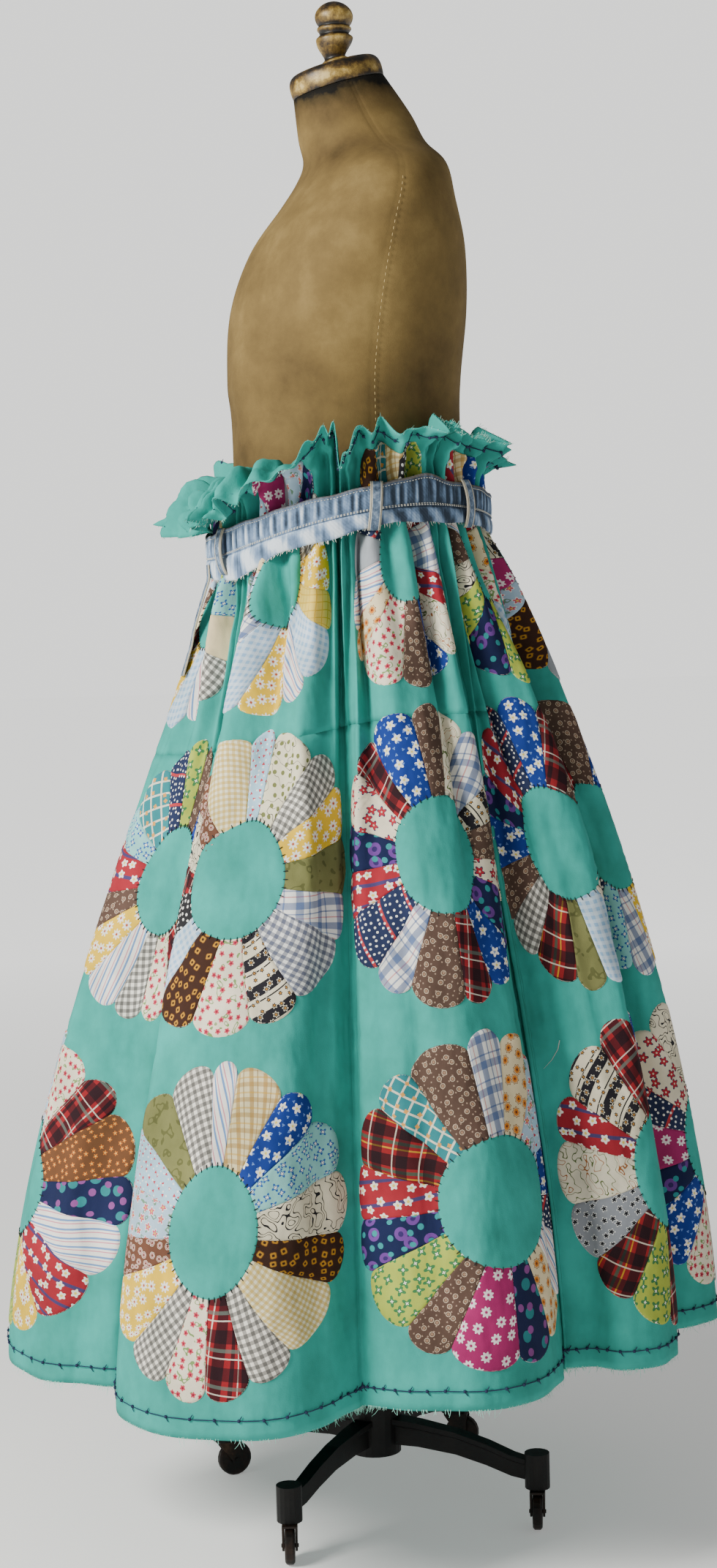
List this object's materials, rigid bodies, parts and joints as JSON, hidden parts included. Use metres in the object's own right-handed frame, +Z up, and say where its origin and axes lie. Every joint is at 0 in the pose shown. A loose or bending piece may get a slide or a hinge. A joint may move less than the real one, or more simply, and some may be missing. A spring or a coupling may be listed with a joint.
{
  "type": "quilted skirt on a dress form",
  "caption": "Long gathered skirt made from a patchwork quilt top, with a denim waistband, on a limbless dress form with an iron caster base",
  "frame": {"origin": "on the floor under the middle of the whole part", "axes": "+Z up, the front of the skirt faces -Y, the form's left side faces +X"},
  "size_m": [0.8027, 0.8387, 1.7889],
  "materials": {
    "turquoise_cotton": "soft plain-weave cotton with printed patches",
    "washed_denim": "faded twill with frayed edges",
    "form_canvas": "aged olive-brown canvas, drawn tight",
    "worn_wood": "worn golden varnish, chipped",
    "cast_iron": "old black paint, dusty"
  },
  "bodies": {
    "dressed_form": {"block_1_A": "turquoise_cotton", "block_1_B": "turquoise_cotton", "block_1_C": "turquoise_cotton", "block_1_D": "turquoise_cotton", "block_1_E": "turquoise_cotton", "block_1_F": "turquoise_cotton", "block_1_G": "turquoise_cotton", "block_1_H": "turquoise_cotton", "block_1_I": "turquoise_cotton", "block_1_J": "turquoise_cotton", "block_2_A": "turquoise_cotton", "block_2_B": "turquoise_cotton", "block_2_C": "turquoise_cotton", "block_2_D": "turquoise_cotton", "block_2_E": "turquoise_cotton", "block_2_F": "turquoise_cotton", "block_2_G": "turquoise_cotton", "block_2_H": "turquoise_cotton", "block_2_I": "turquoise_cotton", "block_2_J": "turquoise_cotton", "block_3_A": "turquoise_cotton", "block_3_B": "turquoise_cotton", "block_3_C": "turquoise_cotton", "block_3_D": "turquoise_cotton", "block_3_E": "turquoise_cotton", "block_3_F": "turquoise_cotton", "block_3_G": "turquoise_cotton", "block_3_H": "turquoise_cotton", "block_3_I": "turquoise_cotton", "block_3_J": "turquoise_cotton", "header_AB": "turquoise_cotton", "header_CD": "turquoise_cotton", "header_EF": "turquoise_cotton", "header_GH": "turquoise_cotton", "header_IJ": "turquoise_cotton", "waistband": "washed_denim", "belt_loop_1": "washed_denim", "belt_loop_2": "washed_denim", "belt_loop_3": "washed_denim", "belt_loop_4": "washed_denim", "belt_loop_5": "washed_denim", "waistband_tail": "washed_denim", "form_torso": "form_canvas", "form_neck_cap": "worn_wood", "form_finial": "worn_wood", "form_post": "cast_iron", "form_base": "cast_iron"},
    "fork_1": {"caster_fork_1": "cast_iron"},
    "wheel_1": {"caster_wheel_1": "cast_iron"},
    "fork_2": {"caster_fork_2": "cast_iron"},
    "wheel_2": {"caster_wheel_2": "cast_iron"},
    "fork_3": {"caster_fork_3": "cast_iron"},
    "wheel_3": {"caster_wheel_3": "cast_iron"},
    "fork_4": {"caster_fork_4": "cast_iron"},
    "wheel_4": {"caster_wheel_4": "cast_iron"}
  },
  "joints": [
    {"name": "caster_swivel_1", "type": "hinge", "parent": "dressed_form", "child": "fork_1", "pos_m": [0.15903, -0.12469, 0.0454], "axis": [0, 0, 1], "continuous": true},
    {"name": "wheel_spin_1", "type": "hinge", "parent": "fork_1", "child": "wheel_1", "pos_m": [0.17068, -0.1276, 0.021], "axis": [0.2419, 0.9703, 0], "continuous": true},
    {"name": "caster_swivel_2", "type": "hinge", "parent": "dressed_form", "child": "fork_2", "pos_m": [0.14319, 0.17753, 0.0454], "axis": [0, 0, 1], "continuous": true},
    {"name": "wheel_spin_2", "type": "hinge", "parent": "fork_2", "child": "wheel_2", "pos_m": [0.15447, 0.17343, 0.021], "axis": [0.342, 0.9397, 0], "continuous": true},
    {"name": "caster_swivel_3", "type": "hinge", "parent": "dressed_form", "child": "fork_3", "pos_m": [-0.15903, 0.16169, 0.0454], "axis": [0, 0, 1], "continuous": true},
    {"name": "wheel_spin_3", "type": "hinge", "parent": "fork_3", "child": "wheel_3", "pos_m": [-0.15303, 0.17209, 0.021], "axis": [-0.866, 0.5, 0], "continuous": true},
    {"name": "caster_swivel_4", "type": "hinge", "parent": "dressed_form", "child": "fork_4", "pos_m": [-0.14319, -0.14053, 0.0454], "axis": [0, 0, 1], "continuous": true},
    {"name": "wheel_spin_4", "type": "hinge", "parent": "fork_4", "child": "wheel_4", "pos_m": [-0.14528, -0.12871, 0.021], "axis": [-0.9848, -0.1736, 0], "continuous": true}
  ]
}
